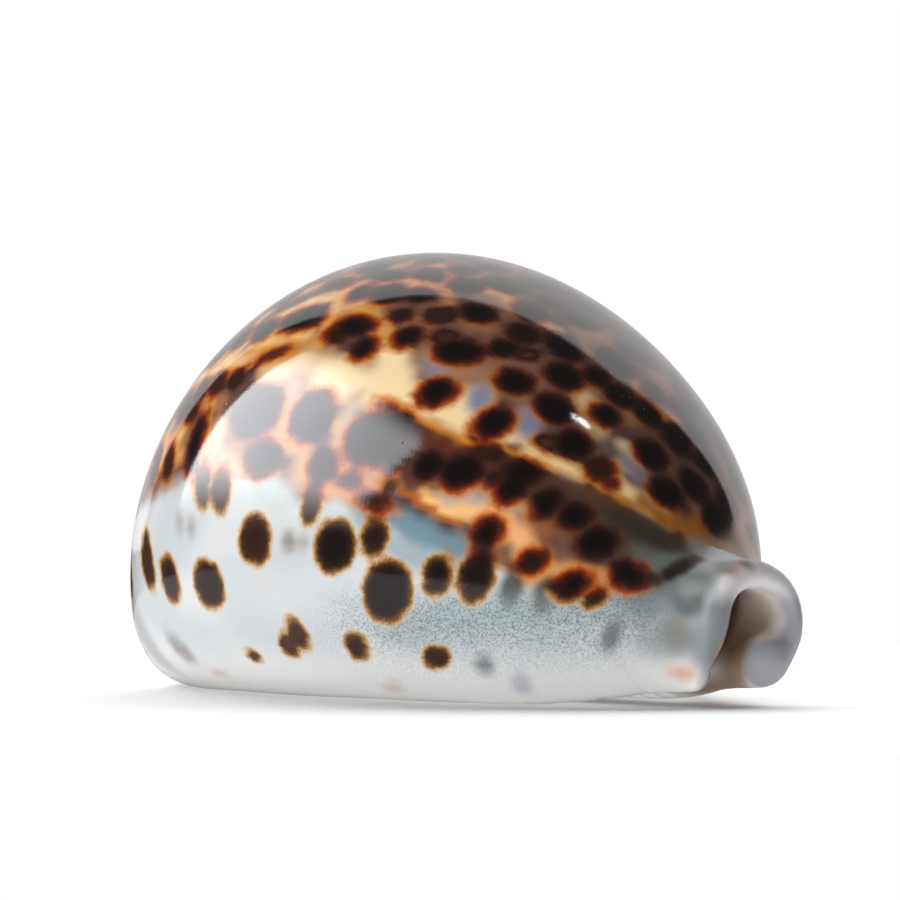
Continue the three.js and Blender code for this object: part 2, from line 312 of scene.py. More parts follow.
def ring(x):
    """One section: out over the dome from lip to lip, round the inner lip, inside, round the outer lip."""
    blend = through(CANAL_BLEND, x)
    top = soft_max(egg(x, **DOME), through(CANAL_ROOF, x), blend)
    outer = soft_max(egg(x, **OUTER_SIDE), through(CANAL_OUTER_SIDE, x), blend)
    inner = soft_max(egg(x, **INNER_SIDE), through(CANAL_INNER_SIDE, x), blend)
    outer_base, inner_base = through(OUTER_BASE, x), through(INNER_BASE, x)
    margin, square, wall = through(MARGIN, x), through(BASE_SQUARENESS, x), through(WALL, x)
    middle, half_gap = through(APERTURE_MIDDLE, x), through(APERTURE_GAP, x) / 2
    outer_lip, inner_lip = through(OUTER_LIP_RADIUS, x), through(INNER_LIP_RADIUS, x)
    outer_lip_y = middle - half_gap - outer_lip
    inner_lip_y = middle + half_gap + inner_lip
    rise = (LIP_RISE * ease((x - BACK_END) / LIP_RISE_FADE)
            * ease((FRONT_END - LIP_RISE_STOP - x) / LIP_RISE_FADE))
    crest, roundness = CREST_OFFSET, DOME_ROUNDNESS

    def hollowed(path, lip_y, base):
        near = ease(1 - np.abs(path[:, 0] - lip_y) / LIP_RISE_REACH)
        low = 1 - ease((path[:, 1] - base) / (margin - base))
        return path + np.stack([0 * near, rise * near * low], axis=1)

    outside = np.concatenate([
        hollowed(quarter(outer_lip_y, margin, outer + outer_lip_y, margin - outer_base, square, 270, 180),
                 outer_lip_y, outer_base),
        quarter(crest, margin, outer + crest, top - margin, roundness, 180, 90)[1:],
        quarter(crest, margin, inner - crest, top - margin, roundness, 90, 0)[1:],
        hollowed(quarter(inner_lip_y, margin, inner - inner_lip_y, margin - inner_base, square, 0, -90),
                 inner_lip_y, inner_base)[1:],
    ])
    outer_foot, inner_foot = outer_base + rise, inner_base + rise
    outer_floor, inner_floor = outer_foot + 2 * outer_lip, inner_foot + 2 * inner_lip
    roof = top - wall
    floor_z = max(outer_floor, inner_floor)
    waist = max(margin, floor_z + HOLLOW_WAIST * (roof - floor_z))
    inside = np.concatenate([
        quarter(inner_lip_y, waist, inner - wall - inner_lip_y, waist - inner_floor, roundness, -90, 0),
        quarter(crest, waist, inner - wall - crest, roof - waist, roundness, 0, 90)[1:],
        quarter(crest, waist, outer - wall + crest, roof - waist, roundness, 90, 180)[1:],
        quarter(outer_lip_y, waist, outer - wall + outer_lip_y, waist - outer_floor, roundness, 180,
                270)[1:],
    ])
    turn = math.pi * np.arange(1, LIP_POINTS + 1) / (LIP_POINTS + 1)
    inner_turn = np.stack([inner_lip_y - inner_lip * np.sin(turn),
                           inner_foot + inner_lip * (1 - np.cos(turn))], axis=1)
    outer_turn = np.stack([outer_lip_y + outer_lip * np.sin(turn),
                           outer_foot + outer_lip * (1 + np.cos(turn))], axis=1)
    outside, inside = spaced(outside, WALL_POINTS), spaced(inside, WALL_POINTS)
    y, z = np.concatenate([outside, inner_turn, inside, outer_turn]).T

    # Both canals' rims lean back below, and the inner lip's end swells to a knob.
    foot = min(outer_base, inner_base)
    at_front, at_back = ease(1 + (x - FRONT_END) / FRONT_REACH), ease(1 + (BACK_END - x) / BACK_REACH)
    low = np.clip(1 - (z - foot) / (top - foot), 0, 1)
    from_knob = np.hypot(y - inner_lip_y, z - inner_base - inner_lip)
    shift = (KNOB * np.exp(-(from_knob / KNOB_RADIUS) ** 2) * at_front ** 2
             - KNOB_CREASE * np.exp(-((from_knob - CREASE_DISTANCE) / CREASE_WIDTH) ** 2) * at_front ** 2
             - FRONT_CUTBACK * ease(0.5 - y / CUTBACK_WIDTH) * low ** 6 * at_front
             + BACK_CUTBACK * low ** 2 * at_back)
    return np.stack([x + shift, y, z], axis=1)


crest_x = np.linspace(BACK_END, FRONT_END, 1501)
crest_z = soft_max(egg(crest_x, **DOME), through(CANAL_ROOF, crest_x), through(CANAL_BLEND, crest_x))
mould = np.stack([ring(x) for x in spaced(np.stack([crest_x, crest_z], axis=1), RINGS)[:, 0]])
for _ in range(SMOOTHINGS):
    mould = (np.roll(mould, 1, axis=1) + 2 * mould + np.roll(mould, -1, axis=1)) / 4
    mould[1:-1] = (mould[:-2] + 2 * mould[1:-1] + mould[2:]) / 4

# A half-round rim closes the wall at each end; each point meets the one across the wall from it.
across = (ACROSS_WALL - np.arange(LOOP)) % LOOP


def rim(last, direction):
    """The sections of a half-round rim past the last one, in a direction along the shell."""
    middle = (last + last[across]) / 2
    turns = [math.pi / 2 * (k + 1) / RIM_RINGS for k in range(RIM_RINGS)]
    rings = [middle + (last - middle) * math.cos(a) for a in turns]
    for points, a in zip(rings, turns):
        points[:, 0] += direction * np.linalg.norm(last - middle, axis=1) * math.sin(a)
    return rings


back_rim, front_rim = rim(mould[0], -1), rim(mould[-1], 1)
mould = np.stack(back_rim[::-1] + list(mould) + front_rim)
mould = np.concatenate([mould[1:2, across], mould, mould[-2:-1, across]])

# The surface is a smooth curve over the sections both ways, closest together at the toothed lips.
FINE_RINGS = 265
dome_part = np.concatenate([
    np.linspace(0, 4, 10, endpoint=False), np.linspace(4, 14, 16, endpoint=False),
    np.linspace(14, 57, 114, endpoint=False), np.linspace(57, 67, 14, endpoint=False),
    np.linspace(67, LAST_OUTSIDE, 11),
])
lip_part = np.linspace(LAST_OUTSIDE, FIRST_INSIDE, 17)[1:-1]
loop_at = np.concatenate([dome_part, lip_part, ACROSS_WALL - dome_part[::-1], lip_part + LOOP / 2])
ring_at = np.linspace(1, len(mould) - 2, FINE_RINGS)


def drawn_over(grid, at, axis, closed):
    """Uniform cubic curve over a grid's points along one axis."""
    first = np.floor(at).astype(int)
    t = (at - first).reshape([-1 if i == axis else 1 for i in range(3)])
    weights = [(1 - t) ** 3, 3 * t ** 3 - 6 * t ** 2 + 4, -3 * t ** 3 + 3 * t ** 2 + 3 * t + 1, t ** 3]
    count = grid.shape[axis]
    picks = [(first + k) % count if closed else np.clip(first + k, 0, count - 1) for k in (-1, 0, 1, 2)]
    return sum(w * np.take(grid, p, axis=axis) for w, p in zip(weights, picks)) / 6


surface = drawn_over(drawn_over(mould, ring_at, 0, False), loop_at, 1, True)
n_rings, n_loop = surface.shape[:2]


def grid_directions(grid):
    """Unit directions along the shell, round it and out of it at every point of its grid."""
    along = np.gradient(grid, axis=0)
    around = np.roll(grid, -1, axis=1) - np.roll(grid, 1, axis=1)
    out = np.cross(along, around)
    return [v / np.maximum(np.linalg.norm(v, axis=2, keepdims=True), 1e-9) for v in (along, around, out)]


# Teeth: low rounded ridges across both lips, finer and shorter on the inner one.
TOOTH_PITCH_OUTER, TOOTH_PITCH_INNER = 3.1, 2.9
TOOTH_HEIGHT, TOOTH_TAPER, PITCH_WAVER = 0.55, 1.35, 0.12
INNER_LIP = ACROSS_WALL / 2
OUTER_LIP = INNER_LIP + LOOP / 2
x_grid = surface[:, :, 0]
lip_end_fade = ease((x_grid + 39) / 6) * ease((36 - x_grid) / 8)


def near_lip(middle, onto_base, inwards):
    """1 at a lip, easing to 0 at a number of the mould's points onto the base and inwards."""
    gap = (loop_at - middle + LOOP / 2) % LOOP - LOOP / 2
    reach = np.where(gap * (1 if middle < LOOP / 2 else -1) < 0, onto_base, inwards)
    return ease(TOOTH_TAPER * (1 - np.abs(gap) / reach))


def teeth(pitch, slip):
    """Ridges of a pitch in millimetres, which wavers along the shell."""
    phase = 2 * math.pi * (x_grid / pitch + slip + PITCH_WAVER * np.sin(0.21 * x_grid + 5 * slip))
    return (0.5 + 0.5 * np.cos(phase)) ** 0.8 - 0.35


outwards = grid_directions(surface)[2]
tooth = (teeth(TOOTH_PITCH_OUTER, slip=0.0) * near_lip(OUTER_LIP, onto_base=8.0, inwards=6.5)
         + teeth(TOOTH_PITCH_INNER, slip=0.4) * near_lip(INNER_LIP, onto_base=6.6, inwards=8.0))
surface = surface + (TOOTH_HEIGHT * lip_end_fade * tooth)[:, :, None] * outwards

# The shell stands where its solid stands, and the lowest places are worn flat.
low, high = [1000 * np.array(corner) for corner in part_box("shell")]
for axis in (0, 1):
    flat = surface[:, :, axis]
    surface[:, :, axis] += (low[axis] + high[axis]) / 2 - (flat.min() + flat.max()) / 2
surface[:, :, 2] = np.maximum(low[2], surface[:, :, 2] + high[2] - surface[:, :, 2].max())

place_number = np.arange(n_rings * n_loop).reshape(n_rings, n_loop)
next_round = np.roll(place_number, -1, axis=1)
faces = np.stack([place_number[:-1], place_number[1:], next_round[1:], next_round[:-1]], axis=2)
shell_mesh = bpy.data.meshes.new("shell_body")
shell_mesh.from_pydata((surface.reshape(-1, 3) / 1000).tolist(), [], faces.reshape(-1, 4).tolist())

# Markings: each layer of enamel that the animal's mantle laid down holds its own pigment. They are
# given here as places on the dome: millimetres along it, and degrees round it from the outer side.
RIDGE_HEIGHT = 18
DEGREE = 0.5
along_dir, around_dir, out_dir = grid_directions(surface)
outside_count = len(dome_part)
dome = surface[:, :outside_count]
dome_angle = np.degrees(np.arctan2(dome[:, :, 2] - RIDGE_HEIGHT, -dome[:, :, 1]))
dome_angle = np.where(dome_angle < -90, dome_angle + 360, dome_angle)
points = surface.reshape(-1, 3)
along_shell, across_shell, height = points.T


def place(x, angle):
    """The place on the outside at x and angle, with its directions along, round and out."""
    miss = (dome[:, :, 0] - x) ** 2 + (DEGREE * (dome_angle - angle)) ** 2
    k, j = np.unravel_index(np.argmin(miss), miss.shape)
    return surface[k, j], along_dir[k, j], around_dir[k, j], out_dir[k, j]


def ragged(size, seed):
    """Smooth unevenness from about -1 to 1 of a size in millimetres, at every point of the shell."""
    offset = Vector((17.0 * seed, 5.0, -9.0 * seed))
    return np.array([mathutils.noise.noise(Vector(p) / size + offset) for p in points.tolist()])


lobes, broad = ragged(2.2, 1), ragged(8.0, 2)


def depth_in(x, angle, long, tall, tilt):
    """Millimetres inside the edge of an oval mark, negative outside it."""
    centre, along, around, out = place(x, angle)
    offset = points - centre
    c, s = math.cos(math.radians(tilt)), math.sin(math.radians(tilt))
    u = offset @ (c * along + s * around) / long
    v = offset @ (c * around - s * along) / tall
    w = offset @ out / (1.5 * max(long, tall))
    return (1 - np.sqrt(u * u + v * v + w * w)) * min(long, tall)


# Ground: brown in clouds on the dome and white in clouds on the sides, with a wavy edge between them
# that lies lower on the far side. The edge is given as degrees round at each place along the shell.
DORSUM_LIGHT, DORSUM_DARK = "#a8714a", "#4e342c"
FLANK_WHITE, FLANK_GREY, FOOT_WHITE = "#d0d1d2", "#bfc5c8", "#e4e4e3"
FAR_EDGE, EDGE_WAVE, EDGE_BLUR = 0.6, 1.2, 3.6
WHITE_EDGE = [(-40, 4), (-25, 9), (-10, 13), (0, 12), (8, 9), (15, 5), (20, 0), (25, -6), (30, -15),
              (35, -23), (38, -30), (41, -36)]
STROKES = [
    # pigment laid over the ground, one group partly a painted reflection: colour, cover, half width, blur
    # # and the places it runs through
    # cream and tan between the spots of the dome's near side
    ("#ddb888", 1.0, 2.0, 2.6, [(-7, 37.5), (-1.6, 40), (2.3, 38)]),
    ("#ffe3b4", 1.0, 2.4, 2.6, [(2.3, 38), (7.3, 37), (11, 36.3)]),
    ("#ffe2b0", 1.0, 2.0, 2.4, [(7, 47), (9.5, 42), (10.5, 38), (17.3, 32.5), (18.6, 36), (18.4, 42)]),
    ("#ffdda4", 1.0, 1.2, 1.8, [(17.3, 32.5), (23, 33), (26.9, 31.6), (29.7, 30)]),
    ("#ffdcaa", 0.9, 1.2, 1.8, [(23.2, 34), (24.2, 38)]),
    ("#a97c60", 0.8, 2.2, 3.0, [(15, 48), (18, 50), (17, 56)]),
    ("#efcf9e", 0.9, 1.1, 2.0, [(25.2, 66), (27, 61), (28.5, 58)]),
    ("#ecd6ac", 0.9, 1.1, 1.8, [(30.4, 63), (31.4, 58), (31.5, 53)]),
    ("#ffe0a0", 1.0, 1.2, 1.6, [(32, 41), (33.4, 36), (34.8, 33.5), (35.6, 30)]),
    ("#d9a070", 0.9, 0.8, 1.6, [(9, 78), (12, 79), (17, 81)]),
    ("#c98b52", 0.8, 0.9, 1.8, [(-3, 80), (2, 79), (6, 70), (8, 67)]),
    ("#e0a860", 0.9, 1.1, 1.8, [(-7, 66), (-5, 60), (1, 56), (4, 52), (7, 48)]),
    ("#c98b52", 0.7, 0.9, 1.6, [(25, 94), (28, 99), (28, 106)]),
    ("#c48a52", 0.7, 0.9, 1.6, [(-12, 62), (-8, 66), (-3, 76)]),
    ("#d79a5a", 0.8, 1.0, 1.6, [(-2, 45), (-1, 57), (-4, 64)]),
    # bluish pigment that shows through deeper enamel
    ("#8d8898", 0.9, 1.5, 2.6, [(12, 49), (13.5, 46)]),
    ("#8b8ca2", 1.0, 1.5, 2.4, [(19, 44.5), (19.3, 42)]),
    ("#8488a0", 1.0, 1.6, 2.4, [(23.6, 45), (24.2, 42)]),
    ("#857f92", 0.9, 1.4, 2.6, [(31.5, 56), (32.6, 54)]),
    ("#7d6a6c", 0.7, 2.0, 3.0, [(16, 58), (21, 60)]), ("#80706e", 0.6, 1.6, 3.0, [(27, 51), (30, 52)]),
    # the band where the mantle's two lobes met: amber at its edge, chestnut below it
    ("#5e2c1a", 1.0, 2.0, 1.2, [(13, 28.5), (17.5, 27.5), (21, 27), (25, 28)]),
    ("#7a3d1c", 0.9, 1.2, 1.4, [(25, 27), (30, 26), (34, 22)]),
    ("#4b3e36", 0.95, 3.0, 3.0, [(29, 19), (33, 12), (36, 8)]),
    ("#e2902c", 0.85, 0.35, 0.9,
     [(9.5, 35), (11.5, 33.8), (14.8, 32.7), (18, 30.8), (21, 30), (26, 31), (28.5, 30.5)]),
    ("#e08c24", 0.9, 0.45, 1.1, [(28.5, 31), (31.5, 31.5), (34, 29), (35.8, 31), (36.5, 45), (36.8, 65)]),
    ("#ffdda0", 0.9, 0.7, 1.3, [(26, 33), (29.5, 33.2), (32, 34.5)]),
    ("#a8641f", 0.9, 1.1, 1.8, [(33.8, 37), (35.6, 36), (36.6, 50), (37.0, 90)]),
    ("#f0c07a", 1.0, 1.3, 1.8, [(-16, 35), (-12.5, 42), (-9.4, 46), (-5, 47)]),
    ("#cf8430", 0.9, 1.1, 1.6, [(-26, 37), (-21, 39), (-15, 40), (-10, 40.5), (-5, 42)]),
    ("#efd0a0", 0.9, 0.7, 1.4, [(-24, 38), (-17, 39.5), (-11, 39.5)]),
    ("#e8b56c", 1.0, 0.9, 1.6, [(-23.9, 16), (-19.7, 24), (-17.2, 34), (-14.5, 38)]),
    ("#ecbc74", 1.0, 0.9, 1.5, [(-17.2, 40), (-14.4, 47), (-12, 52), (-8, 57), (-5, 59)]),
    ("#e3a864", 1.0, 0.8, 1.4, [(-5, 59), (-3.4, 54), (-2.4, 49)]),
    ("#dca064", 0.9, 0.8, 1.4, [(-5, 59), (-2.7, 65), (-0.3, 69), (3.9, 69.4)]),
    ("#d99a5c", 0.8, 0.7, 1.4, [(-24, 26), (-22, 34), (-17, 45), (-16, 54), (-12, 62)]),
    # pale veil between the big cells low on the near side, peach where two cells meet: partly the
    # # enamel's own colour, partly a painted reflection of the soft box's face
    ("#d0a684", 0.9, 1.0, 2.0, [(-12.2, 26), (-11.2, 19), (-7.4, 15)]),
    ("#b8957e", 0.9, 1.3, 2.4, [(-2, 34), (-1.5, 26), (-4, 22)]),
    ("#c39468", 0.9, 1.2, 2.2, [(-2, 23), (2, 20), (2, 14)]),
    ("#bf9a78", 0.9, 1.0, 2.2, [(6.5, 33), (6, 26), (7, 20)]),
    ("#cfa27a", 0.9, 1.3, 2.2, [(8, 19), (13, 18.5)]),
    ("#d08a4c", 0.8, 0.9, 1.8, [(6, 12), (10, 11.5), (14, 15)]),
    ("#bcc4c2", 0.9, 1.5, 2.6, [(-3, 12), (0, 9)]),
    ("#e7a86a", 0.9, 0.8, 1.4, [(-16, 32), (-14.5, 26), (-14, 20), (-12, 15)]),
    ("#e2a262", 0.8, 0.7, 1.4, [(-27, 24), (-22, 22), (-19, 18)]),
    # second meeting of the lobes, just above the white side
    ("#b9aaa0", 0.9, 1.6, 2.4, [(20, 13.5), (24, 13), (27, 11)]),
    ("#a3603a", 0.8, 1.4, 2.4, [(27, 8), (30, 9), (33, 8)]),
    ("#f6c07a", 1.0, 0.9, 1.6, [(17.5, 12), (20.5, 9), (23.5, 10.5), (26, 9)]),
    ("#eeb079", 1.0, 1.3, 2.0, [(24, 9), (27.5, 3), (28, -1)]),
    ("#dea26c", 0.9, 1.2, 2.0, [(28, -9), (31, -10), (35, -13)]),
    ("#2a1a16", 1.0, 0.9, 1.1, [(13.6, 13.4), (14.6, 12), (16.6, 9.2), (18.6, 6.6), (20.6, 4.6)]),
    ("#b5601c", 0.9, 0.45, 0.8, [(15, 13.8), (17.2, 11), (19, 8.6), (21.5, 6.6)]),
    ("#6f8c99", 1.0, 1.5, 2.4, [(13, 9), (16.5, 4), (20, 1), (22, 0.5)]),
    ("#8ea2aa", 0.8, 1.3, 2.6, [(10.5, 7), (15, -2), (19, -3.5)]),
    # dusky green where the dome's dark ground thins out towards the canal
    ("#3d342c", 0.95, 2.6, 3.0, [(34.3, 12), (36.4, 0)]),
    ("#554d45", 0.95, 2.2, 3.0, [(33.5, 2), (36.2, -8)]),
    ("#6c706a", 0.95, 2.0, 2.6, [(36.6, -12), (38.4, -22), (40.4, -28)]),
    ("#7b807c", 0.9, 2.0, 2.6, [(40.8, -34), (43, -42)]),
    ("#9da9ac", 0.9, 2.2, 5.0, [(14, -20), (20, -19), (26, -20), (32, -23), (37, -27), (41, -36)]),
]
MARKS = [
    # faint marks in the white: colour, cover, x, angle, half length, half height, tilt, blur
    ("#8f8583", 0.85, -20.8, -25.6, 1.9, 2.0, 0, 2.0), ("#9a9c9e", 0.7, -29.5, -25, 2.6, 5.0, 0, 3.0),
    ("#cdb3aa", 0.7, -16.4, -33, 1.5, 1.0, 0, 1.6),
    ("#d0b3a8", 0.7, 9, -36, 1.6, 1.0, 20, 1.4), ("#c7c9c9", 0.7, 5.5, -9, 1.3, 1.3, 0, 1.6),
    ("#c9c6c2", 0.7, -3, -8, 1.0, 1.3, 0, 1.4), ("#8b8178", 0.9, 1.4, 1.2, 1.0, 1.1, 0, 1.4),
    ("#a09a95", 0.8, 3.0, 0, 0.8, 0.9, 0, 1.2), ("#9d9690", 0.8, -14, 2.4, 0.8, 1.2, 0, 1.2),
    ("#a39c96", 0.8, -16.4, 4, 0.8, 1.2, 0, 1.2), ("#413b34", 0.9, 26.4, -13.2, 1.3, 2.2, 0, 1.2),
    ("#52483d", 0.9, 29.6, -16.5, 1.4, 2.1, 0, 1.4), ("#6d7073", 0.9, 22.6, -33.2, 1.1, 1.2, 0, 1.6),
    ("#5f605c", 0.95, 35.3, -37, 1.0, 1.8, 0, 1.6), ("#b1afbc", 0.8, 25.6, -41.5, 1.2, 1.6, 0, 1.8),
    ("#6f7780", 0.9, 42.6, -42, 1.3, 1.1, 0, 1.6),
    ("#8d8f8f", 0.8, 41, -36, 1.4, 1.2, 0, 1.8), ("#7b7a76", 0.8, 40.4, -52, 1.8, 1.8, 0, 2.4),
    ("#d9a68c", 0.9, 40.3, -64, 1.6, 0.8, 20, 1.4),
    ("#9b8f8a", 0.8, 9.0, 15.5, 1.4, 1.1, 0, 1.4),
]
CANAL_BLOTCHES = [
    # on the canal's roof and side: colour, cover, middle in millimetres, radius, blur
    ("#525b5f", 0.95, (41.5, -6.8, 12.2), 2.6, 3.0), ("#6f787b", 0.8, (38.2, -9.8, 12.0), 2.4, 3.4),
    ("#7d8486", 0.85, (43.2, -6.2, 7.8), 2.6, 3.0), ("#8b9192", 0.8, (38.9, -8.9, 7.8), 2.2, 3.6),
    ("#8b918d", 0.9, (38.6, -1.4, 17.8), 1.6, 3.0), ("#a2a8a4", 0.9, (41.6, -2.6, 17.0), 2.2, 2.6),
    ("#6a6e66", 0.9, (38.2, -7.5, 14.6), 2.6, 3.0), ("#6d726d", 0.9, (41.6, -6.0, 14.4), 2.2, 2.6),
    ("#241a10", 1.0, (37.8, -8.3, 14.3), 0.8, 1.1), ("#1f1710", 1.0, (38.4, -7.0, 15.0), 1.0, 1.1),
    ("#1f1710", 1.0, (38.8, -5.7, 15.6), 1.1, 1.1),
    ("#241a10", 1.0, (38.9, -4.4, 16.1), 1.0, 1.1), ("#32251a", 1.0, (38.9, -3.2, 16.6), 0.8, 1.1),
    ("#241d16", 1.0, (41.9, -6.1, 12.6), 0.7, 1.1),
    ("#857c70", 0.6, (40.4, -8.0, 9.2), 1.2, 2.2),
    ("#6f4f48", 0.95, (43.6, -0.4, 16.3), 1.2, 1.4), ("#a0705a", 0.8, (43.4, -2.4, 15.8), 1.3, 2.0),
    ("#9c8b7e", 0.7, (43.4, 2.1, 16.6), 1.2, 1.8),
]

ground = np.empty((len(points), 3))
ground[:] = linear(DORSUM_DARK)[:3]
angle_all = np.degrees(np.arctan2(height - RIDGE_HEIGHT, -across_shell))
far_side = across_shell > 0
from_side = np.where(angle_all > 90, 180 - angle_all, np.where(angle_all < -90, -180 - angle_all, angle_all))
white_edge = through(WHITE_EDGE, np.clip(along_shell, -40, 42)) * np.where(far_side, FAR_EDGE, 1)
above_white = DEGREE * (from_side - white_edge) + EDGE_WAVE * lobes
dorsum = ease(0.5 + above_white / EDGE_BLUR)


def past(value, start, blur):
    """0 up to a start and 1 from a blur further on; a negative blur counts downwards."""
    return ease((value - start) / blur)


def lay(colour, cover):
    """Lay a colour over the ground, with a cover from 0 to 1 at every point."""
    ground[:] += (np.array(linear(colour)[:3]) - ground) * np.clip(cover, 0, 1)[:, None]


lay(DORSUM_LIGHT, ease(0.5 + 1.1 * broad + 0.6 * lobes))
lay(FLANK_WHITE, 1 - dorsum)
lay(FLANK_GREY, (1 - dorsum) * ease(0.5 + 1.2 * broad))
lay(FOOT_WHITE, (1 - dorsum) * past(height, 8, -6))

# Dark spots: x, angle, half length, half height, tilt, darkness of the heart.
FLANK_SPOTS = [
    (-24.5, -4.4, 1.5, 3.0, 0, 0.7), (-19.0, -7.6, 1.7, 2.4, 0, 0.85), (-11.3, -8.7, 2.3, 2.6, 0, 0.9),
    (-3.7, 0.8, 2.1, 2.6, 0, 0.8), (7.5, -0.4, 2.4, 2.8, 0, 1), (12.4, 2.0, 1.4, 1.9, 0, 0.95),
    (13.7, -10.6, 2.9, 3.3, 0, 1), (18.9, -8.2, 1.5, 2.0, 0, 1), (23.3, -7.6, 1.9, 2.7, 0, 1),
    (24.2, 4.3, 1.6, 1.7, 0, 1), (28.6, -5.2, 1.5, 1.4, 0, 0.9), (32.1, -14.8, 1.9, 1.6, 0, 1),
    (34.0, -21.0, 0.9, 0.9, 0, 0.85), (36.1, -16.0, 2.1, 1.7, 0, 1), (33.3, 2.5, 1.9, 2.0, 0, 1),
    (0.6, -19.8, 1.2, 1.7, 10, 0.62), (-1.3, -21.4, 1.1, 1.3, 0, 0.4), (8.1, -23.3, 1.3, 1.5, 0, 0.8),
    (17.7, -28.2, 1.4, 1.2, 0, 0.85), (-7.4, -24.4, 0.8, 0.8, 0, 0.2),
]
DORSUM_SPOTS = [
    (14.6, 40, 2.1, 1.9, 55, 1), (21.5, 38.4, 2.4, 1.8, 85, 1), (14.0, 54.3, 2.8, 2.1, 30, 1),
    (11.2, 57, 1.4, 1.1, 0, 0.6), (7.9, 51.9, 1.5, 1.7, 0, 1), (16.8, 62.8, 1.6, 1.7, 0, 1),
    (16.3, 71, 1.8, 1.7, 0, 0.95), (18.8, 65.8, 0.8, 1.1, 0, 0.3), (19.4, 77.3, 2.6, 1.9, -20, 1),
    (20.3, 53.8, 2.1, 1.9, 20, 1), (22.4, 67.2, 2.2, 2.1, 0, 1), (23.6, 79, 1.5, 1.7, 0, 1),
    (24.8, 54.2, 2.3, 2.1, 0, 1), (26.6, 39.8, 1.0, 0.9, 0, 0.4), (28.3, 45.1, 1.9, 2.0, 0, 1),
    (30.5, 39.8, 1.4, 1.7, 0, 0.75), (31.9, 36.5, 0.7, 0.8, 0, 0.35), (17.4, 20.8, 1.9, 1.6, 0, 1),
    (20.7, 21.2, 2.3, 2.2, 0, 1), (22.4, 28.4, 1.6, 0.9, -10, 0.75), (24.0, 20.5, 0.9, 0.9, 0, 0.85),
    (26.1, 25.2, 2.0, 1.5, 10, 1), (26.0, 19.2, 1.6, 1.8, 0, 1), (29.2, 16.5, 1.4, 1.7, 0, 1),
    (31.3, 13.4, 1.6, 1.6, 0, 1),
    (31.4, 75.2, 2.0, 2.0, 0, 1), (34.0, 63.4, 2.0, 2.1, 0, 1),
    (26.0, 82.8, 1.9, 1.9, 0, 1), (27.6, 67.5, 1.6, 1.7, 0, 1), (28.0, 91.7, 2.0, 1.8, 0, 1),
    (30.2, 103, 2.2, 2.0, 0, 1), (34.0, 105, 2.0, 1.9, 0, 1), (35.5, 141, 2.3, 2.3, 0, 1),
    (31.6, 124, 1.7, 2.0, 0, 1), (0.7, 62.8, 2.2, 2.0, 0, 1), (-2.6, 60.5, 1.4, 1.8, 0, 1),
    (4.2, 66.4, 1.6, 1.6, 0, 1), (6.5, 74.9, 1.9, 1.9, 0, 1), (-2.0, 69.3, 2.1, 1.5, 0, 1),
    (1.6, 73.6, 1.9, 1.6, 0, 1), (3.3, 81.5, 1.7, 1.7, 0, 1), (8.3, 84.5, 2.4, 2.2, 0, 1),
    (14.1, 80, 2.1, 1.8, 0, 1), (11.4, 69.2, 2.0, 1.8, 0, 1), (5.1, 57.5, 1.2, 1.2, 0, 0.9),
    (8.7, 61.8, 1.5, 1.5, 0, 0.8), (0.8, 51.2, 2.7, 1.7, 10, 1), (4.3, 45.3, 1.5, 1.6, 0, 1),
    (-7.4, 64.5, 2.2, 1.6, 0, 1), (-7.6, 51.8, 3.2, 2.0, 12, 1), (-0.6, 47.5, 1.5, 1.2, 0, 0.9),
    (-12.8, 48.5, 2.0, 1.9, 0, 1), (-17, 47.5, 1.8, 2.0, 0, 1), (-21, 44.5, 1.7, 1.6, 0, 0.9),
    (-25.5, 42, 1.8, 1.6, 0, 0.9), (-12.2, 35, 1.4, 1.2, 0, 0.8), (-15.6, 34, 1.6, 1.7, 0, 0.8),
    (-18.8, 33.4, 1.5, 1.8, 0, 0.8), (-22.5, 32.4, 1.6, 2.2, 0, 0.8), (-18.9, 28, 1.4, 1.5, 0, 0.8),
    (-15.4, 20.6, 1.3, 3.3, -12, 1), (-21, 18, 1.2, 1.9, 0, 0.8), (-25, 18, 1.4, 2.4, 0, 0.6),
    (-8.0, 41.4, 1.9, 0.6, 25, 0.6), (12.2, 31.6, 2.4, 0.9, -20, 1), (-9.2, 10.6, 1.4, 2.2, 0, 0.7),
    (-12.8, 12, 1.2, 2.2, 0, 0.8),
    (-6.4, 28.4, 3.8, 3.3, 0, 0.9), (-3.4, 17.6, 2.5, 2.1, 10, 0.9), (1.8, 28.4, 2.8, 3.1, 0, 0.9),
    (10.4, 25.2, 3.6, 3.2, 10, 0.9), (13.6, 21.5, 1.6, 2.2, 0, 0.9), (5.0, 17.6, 1.8, 1.7, 0, 0.9),
    (3.9, 8.8, 1.1, 1.8, 0, 0.7), (8.5, 15.2, 1.2, 0.9, 0, 0.6), (11.6, 10.6, 2.0, 0.9, -15, 0.8),
]


def scattered(seed, spots, tries, x_range, angle_range, sizes, gap, darkness):
    """More spots of the same kind where there is room, sizes in millimetres."""
    draw = np.random.default_rng(seed)
    centres = [place(s[0], s[1])[0] for s in spots]
    radii = [max(s[2], s[3]) for s in spots]
    added = []
    for _ in range(tries):
        x, angle = draw.uniform(*x_range), draw.uniform(*angle_range)
        radius, stretch, tilt = draw.uniform(*sizes), draw.uniform(0.8, 1.2), draw.uniform(-60, 60)
        room_needed = draw.uniform(*gap)
        tone = draw.uniform(*darkness)
        centre = place(x, angle)[0]
        distance = np.linalg.norm(np.array(centres) - centre, axis=1)
        if np.all(distance > np.array(radii) + radius + room_needed):
            added.append((x, angle, radius * stretch, radius / stretch, tilt, tone))
            centres.append(centre)
            radii.append(radius)
    return added


